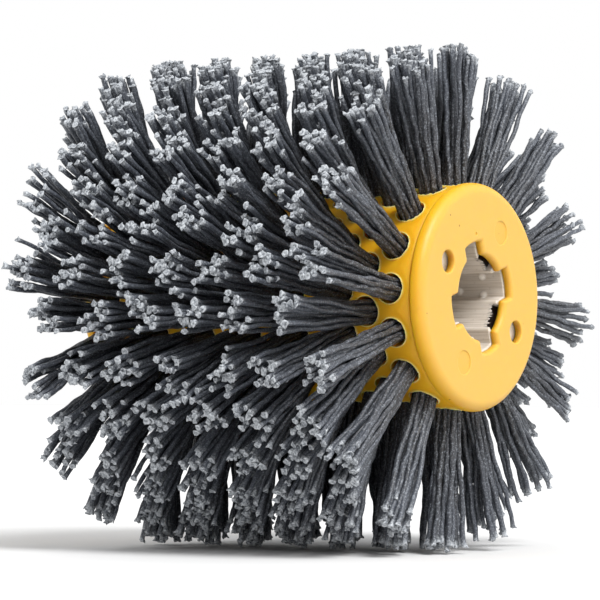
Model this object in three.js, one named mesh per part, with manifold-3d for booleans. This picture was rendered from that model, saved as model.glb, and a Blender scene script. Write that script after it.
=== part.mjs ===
// Wheel brush of abrasive nylon for a hand-held burnishing machine.
// A keyed core carries a drum shell; 13 rings of 16 tufts stand in the shell's holes, each ring turned
// half a step from the next, and a moulded cap closes each end.
// Millimetres, +Z up. The brush turns about the Y axis and the origin is the middle of the brush.
import * as THREE from 'three';
import { mergeVertices } from 'three/addons/utils/BufferGeometryUtils.js';
import Module from 'manifold-3d';

const wasm = await Module();
wasm.setup();

// Whole brush
const brushRadius = 60;
const hubLength = 100;
const clearance = 0.3;

// Clocking about the spin axis, in degrees from +X towards +Z
const keyAngle = 17;
const rowAngle = 19;

// End caps
const capRadius = 27.2;
const capFillet = 2.6;
const capPlate = 1.8;
const capRim = 3.3;
const capBoreRadius = 10.2;
const capBoreChamfer = 1.2;
const capKeyRadius = 13.3;
const capKeyWidth = 7.4;
const pinHoleRadius = 2.7;
const pinHoleOffset = 17.2;

// Core, a spool whose two collars carry the shell
const boreRadius = 9.5;
const keyRadius = 12.9;
const keyWidth = 6.9;
const spoolRadius = 18.4;
const collarRadius = 20.2;
const collarLength = 3;
const landSetBack = 1.7;
const landWall = 0.8;

// Drum shell
const shellRadius = 26.6;
const shellInnerRadius = 20.6;

// Tufts
const ringCount = 13;
const tuftsPerRing = 16;
const ringPitch = 6.83;
const holeRadius = 3.9;
const tuftRootRadius = 2.6;
const tuftTipRadius = 4.7;
const tuftRootAt = 19.2;
const anchorWireWidth = 0.7;
const anchorWireAt = 19.8;

// Number of straight sides that stand for each round
const capSides = 40;
const coreSides = 32;
const shellSides = 32;
const tuftSides = 6;
const pinHoleSides = 12;
const filletSteps = 3;

const rowCount = tuftsPerRing * 2;
const hubEnd = hubLength / 2;
const coreEnd = hubEnd - capPlate - clearance;
const shellEnd = hubEnd - capRim - clearance;
const overcut = 5;

const materials = {
  cap: { color: '#f7cf5f', roughness: 0.45, metalness: 0 },
  shell: { color: '#e6b01e', roughness: 0.45, metalness: 0 },
  core: { color: '#b9aea4', roughness: 0.6, metalness: 0 },
  filament: { color: '#4a4d55', roughness: 0.55, metalness: 0 },
};

function radians(degrees) {
  return THREE.MathUtils.degToRad(degrees);
}

// A closed geometry as a solid that can be cut and joined.
function toSolid(geometry) {
  const bare = geometry.clone();
  bare.deleteAttribute('normal');
  bare.deleteAttribute('uv');
  const merged = mergeVertices(bare, 1e-4);
  const mesh = new wasm.Mesh({
    numProp: 3,
    vertProperties: new Float32Array(merged.attributes.position.array),
    triVerts: new Uint32Array(merged.index.array),
  });
  return new wasm.Manifold(mesh);
}

function toGeometry(solid) {
  const mesh = solid.getMesh();
  const geometry = new THREE.BufferGeometry();
  geometry.setAttribute('position', new THREE.BufferAttribute(mesh.vertProperties, 3));
  geometry.setIndex(new THREE.BufferAttribute(mesh.triVerts, 1));
  geometry.computeVertexNormals();
  return geometry;
}

// A flat outline in X and Z, pulled along the spin axis from one Y to another.
function pullAlongAxis(outline, fromY, toY) {
  const geometry = new THREE.ExtrudeGeometry(outline, {
    depth: toY - fromY,
    bevelEnabled: false,
    curveSegments: coreSides,
  });
  geometry.rotateX(Math.PI / 2);
  geometry.translate(0, toY, 0);
  return geometry;
}

function circle(radius, sides, turn = 0) {
  const points = [];
  for (let i = 0; i < sides; i += 1) {
    const angle = radians(turn) + (i * 2 * Math.PI) / sides;
    points.push(new THREE.Vector2(radius * Math.cos(angle), radius * Math.sin(angle)));
  }
  return points;
}

// Outline of the keyed bore: four round lands with a square-cornered keyway between each two.
function keyedBore(radius, floorRadius, width) {
  const landEdge = Math.asin(width / 2 / radius);
  const floorEdge = Math.asin(width / 2 / floorRadius);
  const landSteps = 6;
  const floorSteps = 2;
  const points = [];
  for (let key = 0; key < 4; key += 1) {
    const middle = radians(keyAngle + 90 * key);
    for (let i = 0; i <= floorSteps; i += 1) {
      const angle = middle - floorEdge + (2 * floorEdge * i) / floorSteps;
      points.push(new THREE.Vector2(floorRadius * Math.cos(angle), floorRadius * Math.sin(angle)));
    }
    for (let i = 0; i <= landSteps; i += 1) {
      const angle = middle + landEdge + ((Math.PI / 2 - 2 * landEdge) * i) / landSteps;
      points.push(new THREE.Vector2(radius * Math.cos(angle), radius * Math.sin(angle)));
    }
  }
  return points;
}

// A body of revolution about Y from [radius, y] points that start and end on the axis.
function turned(profile, sides) {
  const points = profile.map(([radius, y]) => new THREE.Vector2(radius, y));
  return new THREE.LatheGeometry(points, sides);
}

// The cap at the -Y end: a plate with a rounded edge and a deeper rim, bored, keyed and countersunk.
function capSolid() {
  const face = -hubEnd;
  const profile = [[0, face]];
  for (let i = 0; i <= filletSteps; i += 1) {
    const angle = (i / filletSteps) * (Math.PI / 2);
    profile.push([
      capRadius - capFillet + capFillet * Math.sin(angle),
      face + capFillet - capFillet * Math.cos(angle),
    ]);
  }
  const seat = collarRadius + clearance;
  profile.push([capRadius, face + capRim], [seat, face + capRim]);
  profile.push([seat, face + capPlate], [0, face + capPlate]);
  const blank = toSolid(turned(profile, capSides));
  const bore = new THREE.Shape(keyedBore(capBoreRadius, capKeyRadius, capKeyWidth));
  const boreCut = toSolid(pullAlongAxis(bore, face - overcut, face + overcut));
  const countersink = toSolid(turned([
    [0, face - overcut],
    [capBoreRadius + capBoreChamfer + overcut, face - overcut],
    [capBoreRadius, face + capBoreChamfer],
    [0, face + capBoreChamfer],
  ], capSides));
  let cap = blank.subtract(boreCut).subtract(countersink);
  for (const side of [45, 225]) {
    const hole = new THREE.Shape(circle(pinHoleRadius, pinHoleSides));
    const angle = radians(keyAngle + 90 + side);
    const cut = pullAlongAxis(hole, face - overcut, face + overcut);
    cut.translate(pinHoleOffset * Math.cos(angle), 0, pinHoleOffset * Math.sin(angle));
    cap = cap.subtract(toSolid(cut));
  }
  return cap;
}

// A shallow pocket in the end of one land, with a thin wall left beside each keyway.
function landPocket(middle, fromY, toY) {
  const half = Math.PI / 4 - Math.asin((keyWidth / 2 + landWall) / boreRadius);
  const steps = 6;
  const outline = new THREE.Shape();
  for (let i = 0; i <= steps; i += 1) {
    const angle = middle - half + (2 * half * i) / steps;
    const point = [keyRadius * Math.cos(angle), keyRadius * Math.sin(angle)];
    if (i === 0) outline.moveTo(...point);
    else outline.lineTo(...point);
  }
  const inside = boreRadius - clearance;
  outline.lineTo(inside * Math.cos(middle + half), inside * Math.sin(middle + half));
  outline.lineTo(inside * Math.cos(middle - half), inside * Math.sin(middle - half));
  outline.closePath();
  return toSolid(pullAlongAxis(outline, fromY, toY));
}

function coreSolid() {
  const waist = coreEnd - collarLength;
  const blank = toSolid(turned([
    [0, -coreEnd],
    [collarRadius, -coreEnd],
    [collarRadius, -waist],
    [spoolRadius, -waist],
    [spoolRadius, waist],
    [collarRadius, waist],
    [collarRadius, coreEnd],
    [0, coreEnd],
  ], coreSides));
  const bore = new THREE.Shape(keyedBore(boreRadius, keyRadius, keyWidth));
  let core = blank.subtract(toSolid(pullAlongAxis(bore, -coreEnd - overcut, coreEnd + overcut)));
  for (let land = 0; land < 4; land += 1) {
    const middle = radians(keyAngle + 45 + 90 * land);
    core = core.subtract(landPocket(middle, -coreEnd - overcut, -coreEnd + landSetBack));
    core = core.subtract(landPocket(middle, coreEnd - landSetBack, coreEnd + overcut));
  }
  return core;
}

function ringY(ring) {
  return (ring - (ringCount - 1) / 2) * ringPitch;
}

// Rings that have a tuft on a lengthwise row, counted from 0: every second one, starting with 0 or 1 in turn.
function ringsOnRow(row) {
  const rings = [];
  for (let ring = row % 2; ring < ringCount; ring += 2) rings.push(ring);
  return rings;
}

// A straight prism along +Z, to be turned to its row's angle.
function prism(radius, fromZ, toZ) {
  const geometry = new THREE.CylinderGeometry(radius, radius, toZ - fromZ, tuftSides);
  geometry.rotateX(Math.PI / 2);
  geometry.translate(0, 0, (fromZ + toZ) / 2);
  return geometry;
}

// Turns a piece that points along +Z to point along its row, about the spin axis.
function onRow(geometry, row) {
  const angle = rowAngle + (row * 360) / rowCount;
  return geometry.rotateY(radians(90 - angle));
}

function shellSolid() {
  const tube = new THREE.Shape(circle(shellRadius, shellSides, rowAngle));
  const inner = circle(shellInnerRadius, shellSides, rowAngle);
  tube.holes.push(new THREE.Path(inner));
  const blank = toSolid(pullAlongAxis(tube, -shellEnd, shellEnd));
  const holes = [];
  for (let row = 0; row < rowCount; row += 1) {
    for (const ring of ringsOnRow(row)) {
      const hole = prism(holeRadius, spoolRadius, shellRadius + overcut);
      hole.translate(0, ringY(ring), 0);
      holes.push(toSolid(onRow(hole, row)));
    }
  }
  return blank.subtract(wasm.Manifold.union(holes));
}

// One tuft: a bundle that is straight in its hole and opens out towards the tips.
function tuft(ring) {
  const length = brushRadius - tuftRootAt;
  const geometry = new THREE.CylinderGeometry(tuftTipRadius, tuftRootRadius, length, tuftSides);
  geometry.rotateY(Math.PI / tuftSides);
  geometry.rotateX(Math.PI / 2);
  geometry.translate(0, ringY(ring), (tuftRootAt + brushRadius) / 2);
  return geometry;
}

// The tufts of one lengthwise row with the wire that holds their folded roots inside the shell.
function tuftRowSolid(row) {
  const rings = ringsOnRow(row);
  const first = ringY(rings[0]);
  const last = ringY(rings[rings.length - 1]);
  const wire = new THREE.BoxGeometry(anchorWireWidth, last - first, anchorWireWidth);
  wire.translate(0, (first + last) / 2, anchorWireAt);
  const solids = [toSolid(onRow(wire, row))];
  for (const ring of rings) solids.push(toSolid(onRow(tuft(ring), row)));
  return wasm.Manifold.union(solids);
}

function addPiece(group, name, geometry, finish) {
  const mesh = new THREE.Mesh(geometry, new THREE.MeshStandardMaterial(finish));
  mesh.name = name;
  group.add(mesh);
  return mesh;
}

const brush = new THREE.Group();
const capGeometry = toGeometry(capSolid());
addPiece(brush, 'front_end_cap', capGeometry, materials.cap);
const rearCap = addPiece(brush, 'rear_end_cap', capGeometry.clone(), materials.cap);
rearCap.rotation.z = Math.PI;
addPiece(brush, 'keyed_core', toGeometry(coreSolid()), materials.core);
addPiece(brush, 'drum_shell', toGeometry(shellSolid()), materials.shell);
for (let row = 0; row < rowCount; row += 1) {
  const number = String(row + 1).padStart(2, '0');
  addPiece(brush, `tuft_row_${number}`, toGeometry(tuftRowSolid(row)), materials.filament);
}

export default brush;
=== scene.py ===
# Wheel brush of abrasive nylon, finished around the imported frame.
# +Z is up, the brush turns about Y, and the end that faces the camera is the -Y end.
# Shapes are worked out in millimetres and scaled to metres when a piece is made.
import math

import bmesh
import bpy
import numpy as np
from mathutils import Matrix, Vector


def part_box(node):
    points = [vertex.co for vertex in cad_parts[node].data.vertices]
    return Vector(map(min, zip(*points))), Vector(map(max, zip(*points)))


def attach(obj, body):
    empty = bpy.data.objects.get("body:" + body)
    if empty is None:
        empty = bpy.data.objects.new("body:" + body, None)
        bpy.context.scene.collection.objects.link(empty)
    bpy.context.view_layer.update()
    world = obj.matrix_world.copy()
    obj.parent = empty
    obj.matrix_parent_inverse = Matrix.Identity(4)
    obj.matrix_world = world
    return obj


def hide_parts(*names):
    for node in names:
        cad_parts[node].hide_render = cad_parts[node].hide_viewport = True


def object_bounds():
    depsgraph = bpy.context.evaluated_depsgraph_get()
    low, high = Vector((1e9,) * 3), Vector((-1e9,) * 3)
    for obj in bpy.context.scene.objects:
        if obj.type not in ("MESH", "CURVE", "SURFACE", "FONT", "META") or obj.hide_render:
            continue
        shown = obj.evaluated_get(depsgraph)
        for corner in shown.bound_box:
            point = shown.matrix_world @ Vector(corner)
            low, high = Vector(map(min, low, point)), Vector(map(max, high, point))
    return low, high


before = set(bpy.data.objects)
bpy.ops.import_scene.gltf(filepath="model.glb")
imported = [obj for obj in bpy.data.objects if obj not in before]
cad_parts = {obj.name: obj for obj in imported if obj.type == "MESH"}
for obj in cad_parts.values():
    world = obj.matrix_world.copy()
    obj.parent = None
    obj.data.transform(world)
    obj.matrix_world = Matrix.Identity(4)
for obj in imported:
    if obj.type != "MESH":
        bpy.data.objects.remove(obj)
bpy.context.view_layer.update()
scene = bpy.context.scene
mm = 0.001
fullTurn = 2 * math.pi


def boxInMm(node):
    low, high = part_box(node)
    return np.array(low) / mm, np.array(high) / mm


capLow, capHigh = boxInMm("front_end_cap")
coreHigh = boxInMm("keyed_core")[1]
shellHigh = boxInMm("drum_shell")[1]

# How the pieces are clocked about Y, in degrees from +X towards +Z, and how the tufts are laid out
layout = {
    "keyAngle": 17,
    "rowAngle": 19,
    "rows": 32,
    "rings": 13,
    "ringPitch": 6.83,
    "brushRadius": 60,
}


def ringY(ring):
    return (ring - (layout["rings"] - 1) / 2) * layout["ringPitch"]


def ringsOnRow(row):
    # Every other ring, so that neighbouring rows stand half a pitch apart
    return range(row % 2, layout["rings"], 2)


# Colours, nodes and meshes

def linear(hexText):
    channels = [int(hexText[i:i + 2], 16) / 255 for i in (1, 3, 5)]
    return tuple(c / 12.92 if c <= 0.04045 else ((c + 0.055) / 1.055) ** 2.4 for c in channels) + (1,)


def addNode(tree, kind, settings=None, links=None):
    node = tree.nodes.new(kind)
    for name, value in (settings or {}).items():
        if isinstance(name, str) and hasattr(node, name):
            setattr(node, name, value)
        else:
            node.inputs[name].default_value = value
    for name, source in (links or {}).items():
        tree.links.new(source, node.inputs[name])
    return node


def newMaterial(name):
    material = bpy.data.materials.new(name)
    material.use_nodes = True
    tree = material.node_tree
    tree.nodes.clear()
    place = addNode(tree, "ShaderNodeTexCoord").outputs["Object"]
    return material, tree, place


def finishMaterial(tree, settings, links):
    surface = addNode(tree, "ShaderNodeBsdfPrincipled", settings, links)
    addNode(tree, "ShaderNodeOutputMaterial", links={"Surface": surface.outputs["BSDF"]})


def addPiece(name, mesh, material, node):
    piece = bpy.data.objects.new(name, mesh)
    scene.collection.objects.link(piece)
    mesh.materials.append(material)
    mesh.polygons.foreach_set("use_smooth", np.ones(len(mesh.polygons), dtype=bool))
    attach(piece, "root")
    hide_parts(node)


def addLoop(bm, points):
    return [bm.verts.new(Vector(point) * mm) for point in points]


def bridgeAll(bm, loops):
    # Quads between each closed loop and the next; all the loops have the same count of points
    for first, second in zip(loops, loops[1:]):
        for i in range(len(first)):
            j = (i + 1) % len(first)
            bm.faces.new((first[i], first[j], second[j], second[i]))


def fillBetween(bm, loops):
    # A flat face bounded by the first loop, with the others as holes in it
    edges = []
    for loop in loops:
        for vert, following in zip(loop, loop[1:] + loop[:1]):
            edges.append(bm.edges.get((vert, following)))
    bmesh.ops.triangle_fill(bm, use_beauty=True, edges=edges)


def closeMesh(bm, name):
    bmesh.ops.remove_doubles(bm, verts=bm.verts, dist=0.0005 * mm)
    bmesh.ops.recalc_face_normals(bm, faces=bm.faces)
    mesh = bpy.data.meshes.new(name)
    bm.to_mesh(mesh)
    bm.free()
    return mesh


def circle(radius, y, count, middle=(0, 0)):
    turns = np.arange(count) / count * fullTurn
    return [(middle[0] + radius * math.cos(a), y, middle[1] + radius * math.sin(a)) for a in turns]


def polar(radius, degrees):
    angle = math.radians(degrees)
    return radius * math.cos(angle), radius * math.sin(angle)


def arc(radius, start, end, count):
    return [radius * np.array((math.cos(a), math.sin(a))) for a in np.linspace(start, end, count)]


def softCorner(start, corner, end, steps=4):
    # The points inside a curve from start to end that is pulled towards the corner
    points = []
    for i in range(1, steps):
        t = i / steps
        points.append((1 - t) ** 2 * start + 2 * t * (1 - t) * corner + t * t * end)
    return points


def keyedOutline(land, floor, width, soft=0.4, landSteps=22, floorSteps=12, wallSteps=5):
    # Points in X and Z round a bore with four keyways, with the same count whatever the sizes
    half = width / 2
    mouth = math.sqrt(land * land - half * half)
    deep = math.sqrt(floor * floor - half * half)
    floorEdge = math.asin(half / floor)
    landEdge = math.asin(half / land)
    wallOut = [np.array((out, -half)) for out in np.linspace(mouth + soft, deep - soft, wallSteps)]
    wallIn = [np.array((out, half)) for out in np.linspace(deep - soft, mouth + soft, wallSteps)]
    keyFloor = arc(floor, -floorEdge + soft / floor, floorEdge - soft / floor, floorSteps)
    keyLand = arc(land, landEdge + soft / land, math.pi / 2 - landEdge - soft / land, landSteps)
    quarter = wallOut + softCorner(wallOut[-1], np.array((deep, -half)), keyFloor[0])
    quarter += keyFloor + softCorner(keyFloor[-1], np.array((deep, half)), wallIn[0])
    quarter += wallIn + softCorner(wallIn[-1], np.array((mouth, half)), keyLand[0])
    quarter += keyLand + softCorner(keyLand[-1], np.array((half, mouth)), np.array((half, mouth + soft)))
    outline = []
    for quarterTurn in (0, 90, 180, 270):
        turn = math.radians(layout["keyAngle"] + quarterTurn)
        for x, z in quarter:
            outline.append((x * math.cos(turn) - z * math.sin(turn), x * math.sin(turn) + z * math.cos(turn)))
    return outline


# Materials

yellow = {
    "cloudSize": 9,
    "grimeSize": 2.2,
    "peelSize": 0.55,
    "waveSize": 5,
    "grimeShare": 0.35,
    # The flat face of a cap is painted paler, a painted sheen standing in for its whitish reflection, from
    # this distance from the middle of the brush outwards
    "sheenFrom": 48.4,
    "sheenTo": 50,
    "speckSpacing": 5.5,
    "roughness": (0.36, 0.5),
    "glowDepth": 2.2,
}


def makeYellowPlastic(name, colours):
    # Injection-moulded polypropylene: even satin yellow with a fine orange peel and faint cloudy flow
    material, tree, place = newMaterial(name)
    cloud = addNode(tree, "ShaderNodeTexNoise", {"Scale": 1 / (yellow["cloudSize"] * mm), "Detail": 3.0},
                    {"Vector": place})
    cloudMix = addNode(tree, "ShaderNodeMapRange", {"From Min": 0.35, "From Max": 0.7},
                       {"Value": cloud.outputs["Fac"]})
    colour = addNode(tree, "ShaderNodeMix", {"data_type": "RGBA", 6: linear(colours["light"]),
                     7: linear(colours["deep"])}, {0: cloudMix.outputs["Result"]}).outputs[2]
    # Fine dust rubbed into the surface
    grime = addNode(tree, "ShaderNodeTexNoise", {"Scale": 1 / (yellow["grimeSize"] * mm), "Detail": 5.0,
                    "Roughness": 0.65}, {"Vector": place})
    grimeMix = addNode(tree, "ShaderNodeMapRange", {"From Min": 0.6, "From Max": 0.85,
                       "To Max": yellow["grimeShare"]}, {"Value": grime.outputs["Fac"]})
    colour = addNode(tree, "ShaderNodeMix", {"data_type": "RGBA", 7: linear(colours["dust"])},
                     {0: grimeMix.outputs["Result"], 6: colour}).outputs[2]
    if "speck" in colours:
        # Painted sheen: the flat face is painted paler than the rounded rim, standing in for the whitish
        # reflection that it catches
        along = addNode(tree, "ShaderNodeSeparateXYZ", links={"Vector": place}).outputs["Y"]
        depth = addNode(tree, "ShaderNodeMath", {"operation": "ABSOLUTE"}, {0: along}).outputs["Value"]
        sheenMask = addNode(tree, "ShaderNodeMapRange", {"From Min": yellow["sheenFrom"] * mm,
                        "From Max": yellow["sheenTo"] * mm}, {"Value": depth})
        colour = addNode(tree, "ShaderNodeMix", {"data_type": "RGBA", 7: linear(colours["paintedSheen"])},
                         {0: sheenMask.outputs["Result"], 6: colour}).outputs[2]
        # Burnt specks about 0.4 mm across, one in every few square centimetres
        cells = addNode(tree, "ShaderNodeTexVoronoi", {"Scale": 1 / (yellow["speckSpacing"] * mm),
                        "Randomness": 1.0}, {"Vector": place})
        speck = addNode(tree, "ShaderNodeMapRange", {"From Min": 0.035, "From Max": 0.055,
                        "To Min": 0.8, "To Max": 0.0}, {"Value": cells.outputs["Distance"]})
        colour = addNode(tree, "ShaderNodeMix", {"data_type": "RGBA", 7: linear(colours["speck"])},
                         {0: speck.outputs["Result"], 6: colour}).outputs[2]
    if "burr" in colours:
        # The drill leaves a pale stretched burr round each hole
        burr = addNode(tree, "ShaderNodeAttribute", {"attribute_name": "burr"})
        colour = addNode(tree, "ShaderNodeMix", {"data_type": "RGBA", 7: linear(colours["burr"])},
                         {0: burr.outputs["Fac"], 6: colour}).outputs[2]
    peel = addNode(tree, "ShaderNodeTexNoise", {"Scale": 1 / (yellow["peelSize"] * mm), "Detail": 4.0},
                   {"Vector": place})
    wave = addNode(tree, "ShaderNodeTexNoise", {"Scale": 1 / (yellow["waveSize"] * mm), "Detail": 1.0},
                   {"Vector": place})
    waveBump = addNode(tree, "ShaderNodeBump", {"Strength": 0.35, "Distance": 0.12 * mm},
                       {"Height": wave.outputs["Fac"]})
    bump = addNode(tree, "ShaderNodeBump", {"Strength": 0.35, "Distance": 0.03 * mm},
                   {"Height": peel.outputs["Fac"], "Normal": waveBump.outputs["Normal"]})
    rough = addNode(tree, "ShaderNodeMapRange", {"To Min": yellow["roughness"][0],
                    "To Max": yellow["roughness"][1]}, {"Value": grime.outputs["Fac"]})
    finishMaterial(tree, {"IOR": 1.49, "Specular IOR Level": 0.35, "Subsurface Weight": 0.7,
                          "Subsurface Radius": (1, 0.55, 0.12), "Subsurface Scale": yellow["glowDepth"] * mm},
                   {"Base Color": colour, "Roughness": rough.outputs["Result"],
                    "Normal": bump.outputs["Normal"]})
    return material


grey = {
    "base": "#cfc6bb",
    "dark": "#b3a798",
    "dirt": "#897d70",
    # Near white for the painted highlight on the end faces and pip tops, near black for the painted shade in
    # the pockets behind the cap
    "paintedHighlight": "#f1ece4",
    "paintedShade": "#1d1815",
    # The drag lines' width and length
    "dragSize": (0.5, 14),
    "dirtSize": 1.2,
    "dirtShare": 0.5,
}


def makeCorePlastic():
    # Natural grey nylon, moulded with the keyways in: smooth and waxy, with faint drag lines along the bore
    material, tree, place = newMaterial("mouldedGreyNylon")
    fine, long = grey["dragSize"]
    scale = (1 / (fine * mm), 1 / (long * mm), 1 / (fine * mm))
    stretch = addNode(tree, "ShaderNodeMapping", {"Scale": scale}, {"Vector": place})
    drag = addNode(tree, "ShaderNodeTexNoise", {"Scale": 1.0, "Detail": 3.0},
                   {"Vector": stretch.outputs["Vector"]})
    dragMix = addNode(tree, "ShaderNodeMapRange", {"From Min": 0.45, "From Max": 0.7},
                      {"Value": drag.outputs["Fac"]})
    colour = addNode(tree, "ShaderNodeMix", {"data_type": "RGBA", 6: linear(grey["base"]),
                     7: linear(grey["dark"])}, {0: dragMix.outputs["Result"]}).outputs[2]
    dirt = addNode(tree, "ShaderNodeTexNoise", {"Scale": 1 / (grey["dirtSize"] * mm), "Detail": 5.0,
                   "Roughness": 0.7}, {"Vector": place})
    dirtMix = addNode(tree, "ShaderNodeMapRange", {"From Min": 0.6, "From Max": 0.8,
                      "To Max": grey["dirtShare"]}, {"Value": dirt.outputs["Fac"]})
    colour = addNode(tree, "ShaderNodeMix", {"data_type": "RGBA", 7: linear(grey["dirt"])},
                     {0: dirtMix.outputs["Result"], 6: colour}).outputs[2]
    # Painted light: the end faces and the tops of the pips are painted near white as a painted highlight, and
    # the pockets behind the cap are painted near black as painted shade
    for label in ("paintedHighlight", "paintedShade"):
        mark = addNode(tree, "ShaderNodeAttribute", {"attribute_name": label})
        colour = addNode(tree, "ShaderNodeMix", {"data_type": "RGBA", 7: linear(grey[label])},
                         {0: mark.outputs["Fac"], 6: colour}).outputs[2]
    bump = addNode(tree, "ShaderNodeBump", {"Strength": 0.3, "Distance": 0.08 * mm},
                   {"Height": drag.outputs["Fac"]})
    finishMaterial(tree, {"IOR": 1.53, "Roughness": 0.42, "Subsurface Weight": 0.3,
                          "Subsurface Radius": (1, 0.9, 0.75), "Subsurface Scale": 1.5 * mm},
                   {"Base Color": colour, "Normal": bump.outputs["Normal"]})
    return material


charcoal = {
    "dark": "#181513",
    "light": "#42464e",
    "grit": "#868b93",
    "tip": "#bfc3c7",
    "tipShade": "#777c83",
    # Grit grains are about 0.2 mm; drawn coarser, at 0.45 mm, so that they show
    "gritSize": 0.45,
    "gritShare": 0.8,
    "tornSize": 0.5,
}


def makeFilament():
    # Extruded nylon filled with silicon carbide grit: charcoal, waxy and sandy, torn pale at the cut end
    material, tree, place = newMaterial("gritFilledNylon")
    # A random tone for each filament, with painted shade darkening it towards its hole
    toneAndPaintedShade = addNode(tree, "ShaderNodeAttribute", {"attribute_name": "toneAndPaintedShade"})
    colour = addNode(tree, "ShaderNodeMix", {"data_type": "RGBA", 6: linear(charcoal["dark"]),
                     7: linear(charcoal["light"])}, {0: toneAndPaintedShade.outputs["Fac"]}).outputs[2]
    grit = addNode(tree, "ShaderNodeTexNoise", {"Scale": 1 / (charcoal["gritSize"] * mm), "Detail": 2.0,
                   "Roughness": 0.7}, {"Vector": place})
    gritMix = addNode(tree, "ShaderNodeMapRange", {"From Min": 0.5, "From Max": 0.68,
                      "To Max": charcoal["gritShare"]}, {"Value": grit.outputs["Fac"]})
    colour = addNode(tree, "ShaderNodeMix", {"data_type": "RGBA", 7: linear(charcoal["grit"])},
                     {0: gritMix.outputs["Result"], 6: colour}).outputs[2]
    torn = addNode(tree, "ShaderNodeTexNoise", {"Scale": 1 / (charcoal["tornSize"] * mm), "Detail": 3.0},
                   {"Vector": place})
    tornMix = addNode(tree, "ShaderNodeMapRange", {"From Min": 0.3, "From Max": 0.65},
                      {"Value": torn.outputs["Fac"]})
    tipColour = addNode(tree, "ShaderNodeMix", {"data_type": "RGBA", 6: linear(charcoal["tipShade"]),
                        7: linear(charcoal["tip"])}, {0: tornMix.outputs["Result"]}).outputs[2]
    # The pale end stops at a ragged line
    tip = addNode(tree, "ShaderNodeAttribute", {"attribute_name": "tip"})
    ragged = addNode(tree, "ShaderNodeMath", {"operation": "ADD"},
                     {0: tip.outputs["Fac"], 1: torn.outputs["Fac"]})
    tipMix = addNode(tree, "ShaderNodeMapRange", {"From Min": 0.72, "From Max": 1.25},
                     {"Value": ragged.outputs["Value"]})
    colour = addNode(tree, "ShaderNodeMix", {"data_type": "RGBA"},
                     {0: tipMix.outputs["Result"], 6: colour, 7: tipColour}).outputs[2]
    bump = addNode(tree, "ShaderNodeBump", {"Strength": 0.8, "Distance": 0.12 * mm},
                   {"Height": grit.outputs["Fac"]})
    finishMaterial(tree, {"IOR": 1.53, "Roughness": 0.5},
                   {"Base Color": colour, "Normal": bump.outputs["Normal"]})
    return material


def makeFloorPaint():
    # Matt white studio board: even, with a tooth too fine to see
    material, tree, place = newMaterial("mattWhiteBoard")
    tooth = addNode(tree, "ShaderNodeTexNoise", {"Scale": 1 / (2 * mm), "Detail": 3.0}, {"Vector": place})
    bump = addNode(tree, "ShaderNodeBump", {"Strength": 0.1, "Distance": 0.05 * mm},
                   {"Height": tooth.outputs["Fac"]})
    finishMaterial(tree, {"Base Color": linear("#d4d4d4"), "Roughness": 0.9, "Specular IOR Level": 0.1},
                   {"Normal": bump.outputs["Normal"]})
    return material


capPlastic = makeYellowPlastic("mouldedYellowCap", {
    "light": "#d6a416",
    "deep": "#cf9a0e",
    "dust": "#b98a1c",
    # Paler yellow of the painted sheen on the flat face
    "paintedSheen": "#d0a64d",
    "speck": "#6e4a1c",
})
drumPlastic = makeYellowPlastic("drilledYellowDrum", {
    "light": "#dba414",
    "deep": "#d39a0c",
    "dust": "#b98212",
    "burr": "#e6cf8e",
})
coreNylon = makeCorePlastic()
filamentNylon = makeFilament()
print("materials made")


# End caps

cap = {
    "face": capLow[1],
    "radius": capHigh[0],
    "fillet": 2.6,
    "filletSteps": 11,
    "rim": capHigh[1] - capLow[1],
    "rimEdge": 0.4,
    "rimSteps": 5,
    "plate": 1.8,
    "seat": 20.5,
    "land": 10.2,
    "floor": 13.2,
    "width": 7.3,
    "lip": 1.15,
    "lipSteps": 7,
    "lipInKeyway": 0.75,
    "flatBorder": 0.3,
    "sides": 192,
    # Each hole or sunk mark: radius, distance from the axis, angles from a keyway, and a mark's depth
    "pinHole": (2.7, 17.2, (135, 315)),
    "ejector": (2.9, 17.6, (45, 225), 0.25),
    "gate": (0.42, 15.2, (83.7,), 0.35),
    # How far outside the radius each loop of a hole's rounded edge lies, and how deep
    "holeEdge": ((0.5, 0), (0.22, 0), (0.07, 0.07), (0, 0.22)),
    "holeSides": 48,
    # How far outside a mark's radius the loops on the face lie; those on its floor are as far inside
    "markBorder": (0.12, 0.05),
    "markSides": 40,
}


def addCapBody(bm):
    edge = cap["radius"] - cap["fillet"]
    back = cap["face"] + cap["rim"]
    loops = [addLoop(bm, circle(edge - cap["flatBorder"], cap["face"], cap["sides"]))]
    for angle in np.linspace(0, math.pi / 2, cap["filletSteps"]):
        y = cap["face"] + cap["fillet"] * (1 - math.cos(angle))
        loops.append(addLoop(bm, circle(edge + cap["fillet"] * math.sin(angle), y, cap["sides"])))
    for angle in np.linspace(0, math.pi / 2, cap["rimSteps"]):
        r = cap["radius"] - cap["rimEdge"] * (1 - math.cos(angle))
        loops.append(addLoop(bm, circle(r, back - cap["rimEdge"] * (1 - math.sin(angle)), cap["sides"])))
    loops.append(addLoop(bm, circle(cap["seat"], back, cap["sides"])))
    loops.append(addLoop(bm, circle(cap["seat"], cap["face"] + cap["plate"], cap["sides"])))
    bridgeAll(bm, loops)
    return loops[0], loops[-1]


def addCapBore(bm):
    # The mouth is rounded; its lip is narrower in the keyways
    def boreLoop(offset, depth):
        inKeyway = offset * cap["lipInKeyway"]
        outline = keyedOutline(cap["land"] + offset, cap["floor"] + inKeyway, cap["width"] + 2 * inKeyway)
        return addLoop(bm, [(x, cap["face"] + depth, z) for x, z in outline])

    loops = [boreLoop(cap["lip"] + cap["flatBorder"], 0)]
    for angle in np.linspace(0, math.pi / 2, cap["lipSteps"]):
        loops.append(boreLoop(cap["lip"] * (1 - math.sin(angle)), cap["lip"] * (1 - math.cos(angle))))
    loops.append(boreLoop(0, cap["plate"]))
    bridgeAll(bm, loops)
    return loops[0], loops[-1]


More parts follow.
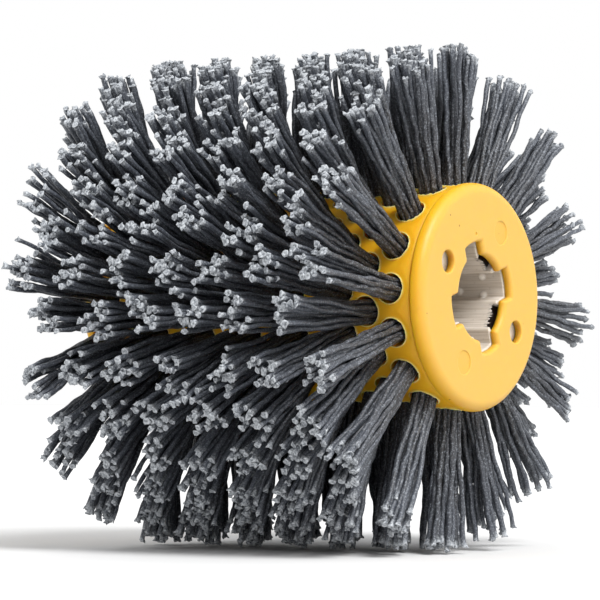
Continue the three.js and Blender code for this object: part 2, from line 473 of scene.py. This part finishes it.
def addRound(bm, radius, middle, rings, sides):
    loops = [addLoop(bm, circle(radius + grow, cap["face"] + depth, sides, middle)) for grow, depth in rings]
    bridgeAll(bm, loops)
    return loops[0], loops[-1]


def makeCap(name, node, turned):
    bm = bmesh.new()
    ends = [addCapBody(bm), addCapBore(bm)]
    radius, offset, angles = cap["pinHole"]
    for angle in angles:
        middle = polar(offset, layout["keyAngle"] + angle)
        rings = cap["holeEdge"] + ((0, cap["plate"]),)
        ends.append(addRound(bm, radius, middle, rings, cap["holeSides"]))
    faceLoops = [first for first, last in ends]
    backLoops = [last for first, last in ends]
    outside, inside = cap["markBorder"]
    for radius, offset, angles, sunk in (cap["ejector"], cap["gate"]):
        rings = ((outside, 0), (inside, 0), (-inside, sunk), (-outside, sunk))
        for angle in angles:
            middle = polar(offset, layout["keyAngle"] + angle)
            first, last = addRound(bm, radius, middle, rings, cap["markSides"])
            faceLoops.append(first)
            fillBetween(bm, [last])
    fillBetween(bm, faceLoops)
    fillBetween(bm, backLoops)
    if turned:
        for vert in bm.verts:
            vert.co = Vector((-vert.co.x, -vert.co.y, vert.co.z))
    addPiece(name, closeMesh(bm, name), capPlastic, node)


makeCap("frontCap", "front_end_cap", False)
makeCap("rearCap", "rear_end_cap", True)
print("end caps made")


# Keyed core

core = {
    "seed": 11,
    "end": coreHigh[1],
    "collar": coreHigh[0],
    "collarLength": 3.0,
    "spool": 18.4,
    "land": 9.5,
    "floor": 12.9,
    "width": 6.9,
    "corner": 0.25,
    # Each land starts in a pocket below the end face, beside the thin walls of the keyways
    "pocketDepth": 1.5,
    "pocketWall": 0.8,
    "pocketFloor": 14.0,
    "pocketStep": 0.5,
    "cleanEdge": 0.2,
    "ragged": 0.75,
    "tearBorder": 0.3,
    "tearFade": 0.5,
    "dragDepth": 0.02,
    # Moulded pips on each keyway floor: degrees from its middle, distance from the end face
    "pips": ((-13.3, 5.6), (7.5, 5.4), (-8.7, 12.4)),
    "pipRadius": 1.0,
    "pipHeight": 0.5,
    # Loops stand close together from the pockets to past the pips, and wide apart between
    "fineStart": 0.6,
    "fineEnd": 16,
    "fineLoops": 56,
    "coarseStart": 19,
    "coarseLoops": 14,
    "landSlack": 0.01,
    "landSteps": 36,
    "floorSteps": 32,
    "sides": 96,
}


def addSpool(bm, paintedHighlight):
    end = core["end"]
    waist = end - core["collarLength"]
    loops = []
    for radius, y in ((core["collar"], end), (core["collar"], waist), (core["spool"], waist),
                      (core["spool"], -waist), (core["collar"], -waist), (core["collar"], -end)):
        loops.append(addLoop(bm, circle(radius, y, core["sides"])))
    bridgeAll(bm, loops)
    # The end faces are painted pale from their outer edge: a painted highlight
    for vert in loops[0] + loops[-1]:
        vert[paintedHighlight] = 1
    return loops[0], loops[-1]


def makeCore():
    rng = np.random.default_rng(core["seed"])
    bm = bmesh.new()
    # Painted shade: the pockets behind the cap are painted near black
    paintedShade = bm.verts.layers.float.new("paintedShade")
    paintedHighlight = bm.verts.layers.float.new("paintedHighlight")
    end = core["end"]
    front, rear = addSpool(bm, paintedHighlight)

    outline = np.array(keyedOutline(core["land"], core["floor"], core["width"], soft=core["corner"],
                                    landSteps=core["landSteps"], floorSteps=core["floorSteps"]))
    count = len(outline)
    radii = np.hypot(outline[:, 0], outline[:, 1])
    angles = np.arctan2(outline[:, 1], outline[:, 0])
    fromKey = (np.degrees(angles) - layout["keyAngle"] + 45) % 90 - 45
    fromLand = (np.degrees(angles) - layout["keyAngle"]) % 90 - 45
    reach = 45 - math.degrees(math.asin((core["width"] / 2 + core["pocketWall"]) / core["land"]))
    onLand = radii < core["land"] + core["landSlack"]
    inPocket = (np.abs(fromLand) < reach) & onLand
    drag = rng.normal(0, 1, count) * core["dragDepth"]
    deepest = core["pocketDepth"] - core["tearBorder"]
    tear = (np.abs(rng.normal(0, 1, count)) * core["ragged"]).clip(0, deepest)

    # dark is how much painted shade the points in the pockets take
    def addBoreLoop(r, y, dark=0.0):
        places = np.stack([r * np.cos(angles), np.broadcast_to(y, count), r * np.sin(angles)], axis=1)
        loop = addLoop(bm, places)
        for vert, value in zip(loop, inPocket * dark):
            vert[paintedShade] = value
        return loop

    def boreLoop(y):
        r = radii + drag + rng.normal(0, 0.2, count) * core["dragDepth"]
        top = np.zeros(count)
        for degrees, depth in core["pips"]:
            beside = np.radians(fromKey - degrees) * core["floor"]
            distance = np.hypot(beside, abs(y) - (end - depth)) / core["pipRadius"]
            top = np.maximum(top, np.where(onLand, 0, np.sqrt((1 - distance ** 2).clip(0))))
        loop = addBoreLoop(r - core["pipHeight"] * top, y)
        # The tops of the pips take the painted highlight
        for vert, value in zip(loop, top):
            vert[paintedHighlight] = value
        return loop

    def pocketLoops(sign):
        # From the end face down the pocket's wall, along its floor and over the torn edge of the land
        wide = np.where(inPocket, core["pocketFloor"], radii)
        narrow = np.where(inPocket, core["land"] + core["pocketStep"], radii)
        step = sign * (end - core["pocketDepth"])
        torn = np.where(inPocket, step + sign * tear, step)
        loops = [addBoreLoop(wide, sign * end)]
        # The pocket's wall and floor take the full painted shade, and the torn edge of the land a ragged
        # share of it
        loops.append(addBoreLoop(wide, sign * (end - core["cleanEdge"]), 1))
        loops.append(addBoreLoop(wide, step, 1))
        loops.append(addBoreLoop(narrow, step, 1))
        loops.append(addBoreLoop(radii, torn, rng.random(count)))
        loops.append(addBoreLoop(radii + drag, torn - sign * core["tearFade"], rng.random(count) ** 3))
        return loops

    nearest = end - core["pocketDepth"] - core["fineStart"]
    near = np.linspace(nearest, end - core["fineEnd"], core["fineLoops"])
    far = np.linspace(end - core["coarseStart"], core["coarseStart"] - end, core["coarseLoops"])
    bore = pocketLoops(1) + [boreLoop(y) for y in near] + [boreLoop(y) for y in far]
    bore += [boreLoop(-y) for y in near[::-1]] + pocketLoops(-1)[::-1]
    bridgeAll(bm, bore)
    fillBetween(bm, [front, bore[0]])
    fillBetween(bm, [rear, bore[-1]])
    addPiece("keyedCore", closeMesh(bm, "keyedCore"), coreNylon, "keyed_core")


makeCore()
print("core made")


# Drum shell

drum = {
    "seed": 23,
    "radius": 26.6,
    "inner": 20.6,
    "end": shellHigh[1],
    "endBevel": 0.3,
    "hole": 3.5,
    "holeEdge": 0.6,
    "holeTaper": 0.1,
    "taperDepth": 3,
    "burrHeight": 0.28,
    "burrWidth": 0.32,
    "burrFoot": 0.6,
    "burrLumps": 0.35,
    "lumpyFrom": 0.5,
    "edgeSteps": 6,
    # Points closer than the first are joined, and edges shorter than the second are taken out
    "weld": 0.002,
    "sliver": 0.001,
}

# The drum is a honeycomb of six-sided cells, one round each hole, rolled into a tube.
# A cell's corners are given sideways and along Y from its hole, starting with the -Y corner.
rowStep = fullTurn * drum["radius"] / layout["rows"]
cellTall = (rowStep ** 2 + layout["ringPitch"] ** 2) / (2 * layout["ringPitch"])
cellShort = (layout["ringPitch"] ** 2 - rowStep ** 2) / (2 * layout["ringPitch"])
cellCorners = np.array([(0, -cellTall), (rowStep, -cellShort), (rowStep, cellShort), (0, cellTall),
                        (-rowStep, cellShort), (-rowStep, -cellShort)])
drumLimit = drum["end"] - drum["endBevel"]


def cellEdge(corners):
    # Evenly spaced points along the sides between these corners, without the last corner
    points = []
    for first, second in zip(corners, corners[1:]):
        for step in range(drum["edgeSteps"]):
            points.append(first + (second - first) * step / drum["edgeSteps"])
    return points


def rolled(sideways, along, radius):
    angle = math.radians(layout["rowAngle"]) + sideways / drum["radius"]
    return np.stack([radius * np.cos(angle), along, radius * np.sin(angle)], axis=1)


def cellLevels(border, ways):
    # Each loop of a cell from its border over the burr, down the hole and out to the border inside:
    # its points, its radius on the drum, and how pale and lumpy the burr is there
    hole = drum["hole"]
    wide = drum["burrWidth"]
    high = drum["burrHeight"]
    top = drum["radius"]
    bottomHole = hole - drum["holeTaper"]
    return (
        (border, top, 0),
        (ways * (hole + drum["burrFoot"]), top, 0),
        (ways * (hole + wide), top, 0.1),
        (ways * (hole + wide * 0.55), top + high * 0.8, 0.6),
        (ways * (hole + wide * 0.25), top + high, 1),
        (ways * hole, top + high * 0.5, 0.6),
        (ways * hole, top - drum["holeEdge"], 0),
        (ways * bottomHole, top - drum["taperDepth"], 0),
        (ways * bottomHole, drum["inner"], 0),
        (border, drum["inner"], 0),
    )


def drumCells(rng):
    # The loops of every cell, each with its burr
    border = np.array(cellEdge([*cellCorners, cellCorners[0]]))
    count = len(border)
    start = np.arctan2(border[0, 1], border[0, 0])
    even = np.linspace(0, fullTurn, count, endpoint=False) + start
    ways = np.stack([np.cos(even), np.sin(even)], axis=1)
    for row in range(layout["rows"]):
        for ring in ringsOnRow(row):
            middle = np.array((row * rowStep, ringY(ring)))
            lump = 1 + drum["burrLumps"] * rng.normal(0, 1, count).clip(-2, 2)
            loops = []
            for points, height, burr in cellLevels(border, ways):
                rise = np.full(count, height, dtype=float)
                if burr > drum["lumpyFrom"]:
                    rise = drum["radius"] + (rise - drum["radius"]) * lump
                sideways, along = (points + middle).T
                loops.append((rolled(sideways, along.clip(-drumLimit, drumLimit), rise), burr))
            yield loops


def drumEnds():
    # Bands from the outermost cells of the even rows to the drum's straight ends
    for sign, corners in ((-1, cellCorners[[5, 0, 1]]), (1, cellCorners[[4, 3, 2]])):
        edge = np.array(cellEdge(corners) + [corners[-1]])
        for row in range(0, layout["rows"], 2):
            sideways, along = (edge + np.array((row * rowStep, sign * -ringY(0)))).T
            along = along.clip(-drumLimit, drumLimit)
            levels = (
                (along, drum["radius"]),
                (np.full(len(edge), sign * drumLimit), drum["radius"]),
                (np.full(len(edge), sign * drum["end"]), drum["radius"] - drum["endBevel"]),
                (np.full(len(edge), sign * drum["end"]), drum["inner"]),
                (along, drum["inner"]),
            )
            yield [(rolled(sideways, y, radius), 0) for y, radius in levels]


def makeDrum():
    vertices = []
    burrs = []
    faces = []

    def addStrip(loops, closed):
        count = len(loops[0][0])
        for points, burr in loops:
            start = len(burrs)
            vertices.extend(points * mm)
            burrs.extend([burr] * count)
            if points is loops[-1][0]:
                continue
            for i in range(count if closed else count - 1):
                j = (i + 1) % count
                faces.append((start + i, start + j, start + j + count, start + i + count))

    for loops in drumCells(np.random.default_rng(drum["seed"])):
        addStrip(loops, True)
    for loops in drumEnds():
        addStrip(loops, False)
    mesh = bpy.data.meshes.new("drumShell")
    mesh.from_pydata(np.array(vertices).tolist(), [], faces)
    mesh.attributes.new("burr", "FLOAT", "POINT").data.foreach_set("value", np.array(burrs, dtype=np.float32))
    bm = bmesh.new()
    bm.from_mesh(mesh)
    bmesh.ops.remove_doubles(bm, verts=bm.verts, dist=drum["weld"] * mm)
    bmesh.ops.dissolve_degenerate(bm, edges=bm.edges, dist=drum["sliver"] * mm)
    bmesh.ops.recalc_face_normals(bm, faces=bm.faces)
    bm.to_mesh(mesh)
    bm.free()
    addPiece("drumShell", mesh, drumPlastic, "drum_shell")


makeDrum()
print("drum made")


# Filament tufts

tuft = {
    "seed": 100,
    "ends": 22,
    "width": 1.2,
    "rootAt": 21.0,
    "holeAt": 26.6,
    "rootSpread": 2.6,
    "rootScatter": 0.12,
    # Sideways and along Y: the anchor wire lets a tuft fan out sideways
    "tipSpread": (4.7, 3.75),
    "spreadPower": 1.15,
    "scatter": (0.75, 0.5),
    # Filaments stick together in clumps that lean and stand out alike
    "clumps": 5,
    "clumpLean": (1.1, 0.7),
    "clumpLength": 0.9,
    "lean": 0.7,
    # Rows that wear has pushed over, in millimetres at the tip
    "pushedOver": {13: -1.5, 14: -2.8, 15: -4.4, 16: -0.8},
    "leanAlongAxis": 1.2,
    "endSplay": 0.03,
    "endScatter": 1.8,
    # The tips are trimmed this far inside the brush's radius, and the lengths are measured from there
    "trim": 0.5,
    "length": -0.6,
    "lengthSpread": 1.25,
    "lengthLimits": (-3.5, 0.9),
    "strayShare": 0.14,
    "strayLength": (-6.0, 1.0),
    # Each share is drawn between two limits for every filament, and scales the value that it is named for
    "crimp": 0.13,
    "crimpShare": (0.5, 1.4),
    "crimpLength": 7.0,
    "crimpLengthShare": (0.85, 1.2),
    "wander": 0.3,
    "wanderLength": 19.0,
    # The crimp is full from a fifth of the way out of the hole
    "crimpGrowth": 5,
    "widthShare": (0.93, 1.05),
    "widthWaver": 0.03,
    "lumpiness": 0.05,
    "lumpLimits": (-0.35, 0.4),
    "sides": 8,
    "bodySteps": 26,
    "bodyGap": 1.2,
    # How far below the cut end each ring of points is, how wide it is there, and how pale.
    # Trimming flattens the end and turns out a thin torn lip.
    "tipRings": ((3.2, 1.0, 0.0), (1.7, 1.0, 0.3), (0.8, 1.03, 0.55), (0.3, 1.14, 0.8), (0.1, 1.32, 1.0),
                 (0.0, 1.1, 0.95), (0.12, 0.5, 0.75)),
    "tipWidthShare": (0.9, 1.12),
    "tipShift": 0.1,
    "tipLumpiness": 0.24,
    "tipTear": 0.2,
    "tipDish": (-0.15, 0.25),
    "tipPaleShare": (0.6, 1.05),
    "tipMiddlePale": 0.4,
    # How dark the painted shade is at the hole, and how far each filament's tone varies at random
    "paintedShadeAtRoot": 0.1,
    "shadeSpread": 0.15,
}

# Which of the tip's rings take part in the tear: the whole head, the outside of the head,
# the crown from the lip inwards, and the lip alone
head = slice(-4, None)
headWall = slice(-4, -1)
crown = slice(-3, None)
lip = slice(-3, -1)


def placeFilaments(rng, row, rings):
    # Where each filament leaves its hole and where it ends, sideways and along Y from the tuft's middle,
    # and how far from the brush's axis it ends
    ends = tuft["ends"]
    tufts = len(rings)
    total = tufts * ends
    number = np.repeat(np.arange(tufts), ends)
    order = np.tile(np.arange(ends), tufts)
    turn = rng.uniform(0, fullTurn, tufts)[number]
    goldenAngle = math.pi * (3 - math.sqrt(5))
    reach = np.sqrt((order + 0.5) / ends)
    heading = order * goldenAngle + turn
    disc = np.stack([reach * np.cos(heading), reach * np.sin(heading)], axis=1)
    root = disc * tuft["rootSpread"] + rng.normal(0, tuft["rootScatter"], (total, 2))

    lean = rng.normal(0, tuft["lean"], (tufts, 2))
    lean[:, 0] += tuft["pushedOver"].get(row, 0)
    lean[:, 1] += tuft["leanAlongAxis"] + np.array([ringY(ring) for ring in rings]) * tuft["endSplay"]
    clump = ((heading - turn) % fullTurn / fullTurn * tuft["clumps"]).astype(int)
    pull = rng.normal(0, 1, (tufts, tuft["clumps"], 2)) * np.array(tuft["clumpLean"])
    atEnd = np.array([ring in (0, layout["rings"] - 1) for ring in rings])
    scatter = np.array(tuft["scatter"]) * np.where(atEnd, tuft["endScatter"], 1)[number][:, None]
    tip = disc * np.array(tuft["tipSpread"]) + rng.normal(0, 1, (total, 2)) * scatter
    tip = tip + lean[number] + pull[number, clump]

    length = rng.normal(tuft["length"], tuft["lengthSpread"], total)
    clumpLength = rng.normal(0, tuft["clumpLength"], (tufts, tuft["clumps"]))
    length = (length + clumpLength[number, clump]).clip(*tuft["lengthLimits"])
    stray = rng.random(total) < tuft["strayShare"]
    length = np.where(stray, rng.uniform(*tuft["strayLength"], total), length)
    # The tips are trimmed to a cylinder, so a filament that leans sideways stands less far out
    reachOut = np.sqrt((layout["brushRadius"] - tuft["trim"] + length) ** 2 - tip[:, 0] ** 2)
    return root, tip, reachOut


def traceFilaments(rng, row, rings, root, tip, reachOut):
    # Points along the middle of each filament, how far each is from its hole to the brush's radius,
    # and the row's sideways direction
    total = len(root)
    tipDistance = np.array([ring[0] for ring in tuft["tipRings"]])
    body = np.linspace(0, 1, tuft["bodySteps"])[None, :]
    last = (reachOut - tipDistance[0] - tuft["bodyGap"])[:, None]
    radial = tuft["rootAt"] + (last - tuft["rootAt"]) * body
    radial = np.concatenate([radial, reachOut[:, None] - tipDistance[None, :]], axis=1)
    along = ((radial - tuft["holeAt"]) / (layout["brushRadius"] - tuft["holeAt"])).clip(0, None)
    fanned = along ** tuft["spreadPower"]
    side = root[:, None, :] + (tip - root)[:, None, :] * fanned[:, :, None]

    crimpStart = rng.uniform(0, fullTurn, (total, 1))
    crimpWay = rng.uniform(0, fullTurn, total)
    crimpLength = tuft["crimpLength"] * rng.uniform(*tuft["crimpLengthShare"], (total, 1))
    crimp = tuft["crimp"] * rng.uniform(*tuft["crimpShare"], (total, 1))
    crimp = crimp * np.sin(fullTurn * radial / crimpLength + crimpStart)
    wanderStart = rng.uniform(0, fullTurn, (total, 1))
    wander = tuft["wander"] * np.sin(fullTurn * radial / tuft["wanderLength"] + wanderStart)
    grown = (along * tuft["crimpGrowth"]).clip(0, 1)
    wayX = np.cos(crimpWay)[:, None]
    wayY = np.sin(crimpWay)[:, None]
    side[:, :, 0] += (crimp * wayX + wander * wayY) * grown
    side[:, :, 1] += (crimp * wayY - wander * wayX) * grown
    side[:, crown, :] += rng.normal(0, tuft["tipShift"], (total, 1, 2))

    angle = math.radians(layout["rowAngle"] + row * 360 / layout["rows"])
    outward = np.array((math.cos(angle), 0, math.sin(angle)))
    sideways = np.array((-math.sin(angle), 0, math.cos(angle)))
    middle = np.repeat([ringY(ring) for ring in rings], tuft["ends"])[:, None, None]
    centre = (radial[:, :, None] * outward + side[:, :, :1] * sideways
              + (side[:, :, 1:] + middle) * np.array((0, 1, 0)))
    return centre, along, sideways


def coverFilaments(rng, centre, sideways):
    # Round rings of points square to each filament, with lumps, and then the points that close its ends
    total, levels = centre.shape[:2]
    sides = tuft["sides"]
    ahead = np.gradient(centre, axis=1)
    ahead /= np.linalg.norm(ahead, axis=2, keepdims=True)
    # The head points the way that the filament does just below it
    ahead[:, head] = ahead[:, head.start - 1:head.start]
    first = sideways - ahead * (ahead @ sideways)[:, :, None]
    first /= np.linalg.norm(first, axis=2, keepdims=True)
    second = np.cross(ahead, first)

    tipWidth = np.array([ring[1] for ring in tuft["tipRings"]])
    widths = np.ones((total, levels))
    widths[:, -len(tipWidth):] = tipWidth * rng.uniform(*tuft["tipWidthShare"], (total, 1))
    waver = rng.uniform(*tuft["widthShare"], (total, 1))
    widths *= waver * (1 + rng.normal(0, tuft["widthWaver"], (total, levels)))
    lump = rng.normal(0, tuft["lumpiness"], (total, levels, sides))
    lump[:, headWall, :] += rng.normal(0, tuft["tipLumpiness"], (total, 1, sides))
    lump[:, head, :] += rng.normal(0, tuft["tipLumpiness"] / 2, (total, -head.start, sides))
    radius = tuft["width"] / 2 * widths[:, :, None] * (1 + lump.clip(*tuft["lumpLimits"]))
    turns = (np.arange(sides) / sides * fullTurn)[None, None, :]
    points = (centre[:, :, None, :] + first[:, :, None, :] * (radius * np.cos(turns))[..., None]
              + second[:, :, None, :] * (radius * np.sin(turns))[..., None])
    points[:, lip] += ahead[:, -1, None, None, :] * rng.normal(0, tuft["tipTear"], (total, 1, sides, 1))
    tipMiddle = centre[:, -1:] - ahead[:, -1:] * rng.uniform(*tuft["tipDish"], (total, 1, 1))
    return np.concatenate([points.reshape(total, levels * sides, 3), centre[:, :1], tipMiddle], axis=1)


def filamentFaces(total, levels):
    # Quads along each filament, and a fan of triangles over each end
    sides = tuft["sides"]
    size = levels * sides + 2
    around = np.arange(sides)
    after = (around + 1) % sides
    start = (np.arange(levels - 1) * sides)[:, None]
    quads = np.stack([start + around, start + after, start + sides + after, start + sides + around], axis=-1)
    top = (levels - 1) * sides
    rootFan = np.stack([after, around, np.full(sides, size - 2)], axis=-1)
    tipFan = np.stack([top + around, top + after, np.full(sides, size - 1)], axis=-1)
    offsets = (np.arange(total) * size)[:, None, None]
    faces = (quads.reshape(-1, 4) + offsets).reshape(-1, 4).tolist()
    faces += (rootFan + offsets).reshape(-1, 3).tolist()
    faces += (tipFan + offsets).reshape(-1, 3).tolist()
    return faces


def paintFilaments(rng, mesh, along):
    # Pale towards the tip, and darker towards the hole: painted shade where the tufts crowd together, over a
    # random tone for each filament
    total, levels = along.shape
    tipPale = np.array([ring[2] for ring in tuft["tipRings"]])
    pale = np.zeros((total, levels))
    pale[:, -len(tipPale):] = tipPale * rng.uniform(*tuft["tipPaleShare"], (total, 1))
    toneAndPaintedShade = tuft["paintedShadeAtRoot"] + (1 - tuft["paintedShadeAtRoot"]) * along.clip(0, 1)
    toneAndPaintedShade = (toneAndPaintedShade + rng.normal(0, tuft["shadeSpread"], (total, 1))).clip(0, 1)
    tipMiddle = np.full((total, 1), tuft["tipMiddlePale"])
    for label, values, tipValue in (("tip", pale, tipMiddle), ("toneAndPaintedShade", toneAndPaintedShade, toneAndPaintedShade[:, -1:])):
        values = np.concatenate([values.repeat(tuft["sides"], axis=1), values[:, :1], tipValue], axis=1)
        data = mesh.attributes.new(label, "FLOAT", "POINT").data
        data.foreach_set("value", values.astype(np.float32).ravel())


def makeRow(row):
    rng = np.random.default_rng(tuft["seed"] + row)
    rings = ringsOnRow(row)
    root, tip, reachOut = placeFilaments(rng, row, rings)
    centre, along, sideways = traceFilaments(rng, row, rings, root, tip, reachOut)
    vertices = coverFilaments(rng, centre, sideways)
    name = "filamentRow%02d" % (row + 1)
    mesh = bpy.data.meshes.new(name)
    mesh.from_pydata((vertices.reshape(-1, 3) * mm).tolist(), [], filamentFaces(*along.shape))
    paintFilaments(rng, mesh, along)
    addPiece(name, mesh, filamentNylon, "tuft_row_%02d" % (row + 1))


for row in range(layout["rows"]):
    makeRow(row)
print("filament rows made")


# Floor, light and camera

studio = {
    "floorGap": 0.1,
    "floorSize": 8.0,
    "floorSquares": 8,
    "skyStrength": 1.0,
    "keyStrength": 3.4,
    "keySoftness": 25,
    "keyFrom": (-0.4, -0.9, 1.15),
}

# Where the camera stands: degrees round the brush and up, then millimetres away and to its own right
view = {
    "azimuth": -55.35,
    "elevation": -1.36,
    "distance": 854.4,
    "aside": -2.19,
    "lens": 209.06,
    "sensor": 36.0,
}


def makeFloor():
    # The brush stands on its lowest filament ends
    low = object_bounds()[0][2] - studio["floorGap"] * mm
    bm = bmesh.new()
    bmesh.ops.create_grid(bm, x_segments=studio["floorSquares"], y_segments=studio["floorSquares"],
                          size=studio["floorSize"] / 2)
    for vert in bm.verts:
        vert.co.z = low
    mesh = bpy.data.meshes.new("studioFloor")
    bm.to_mesh(mesh)
    bm.free()
    mesh.materials.append(makeFloorPaint())
    floor = bpy.data.objects.new("studioFloor", mesh)
    scene.collection.objects.link(floor)


def makeLight():
    world = bpy.data.worlds.new("studioSky")
    scene.world = world
    world.use_nodes = True
    sky = world.node_tree.nodes["Background"]
    sky.inputs["Color"].default_value = (1, 1, 1, 1)
    sky.inputs["Strength"].default_value = studio["skyStrength"]
    lamp = bpy.data.lights.new("keyLight", "SUN")
    lamp.energy = studio["keyStrength"]
    lamp.angle = math.radians(studio["keySoftness"])
    key = bpy.data.objects.new("keyLight", lamp)
    key.rotation_euler = Vector(studio["keyFrom"]).to_track_quat("Z", "Y").to_euler()
    scene.collection.objects.link(key)
    scene.view_settings.view_transform = "Standard"


def makeCamera():
    azimuth = math.radians(view["azimuth"])
    elevation = math.radians(view["elevation"])
    back = Vector((math.sin(azimuth) * math.cos(elevation), -math.cos(azimuth) * math.cos(elevation),
                   math.sin(elevation)))
    right = Vector((math.cos(azimuth), math.sin(azimuth), 0))
    lens = bpy.data.cameras.new("studioCamera")
    lens.lens = view["lens"]
    lens.sensor_width = view["sensor"]
    camera = bpy.data.objects.new("studioCamera", lens)
    camera.location = (back * view["distance"] + right * view["aside"]) * mm
    camera.rotation_euler = back.to_track_quat("Z", "Y").to_euler()
    scene.collection.objects.link(camera)
    scene.camera = camera


makeFloor()
makeLight()
makeCamera()
print("studio made")
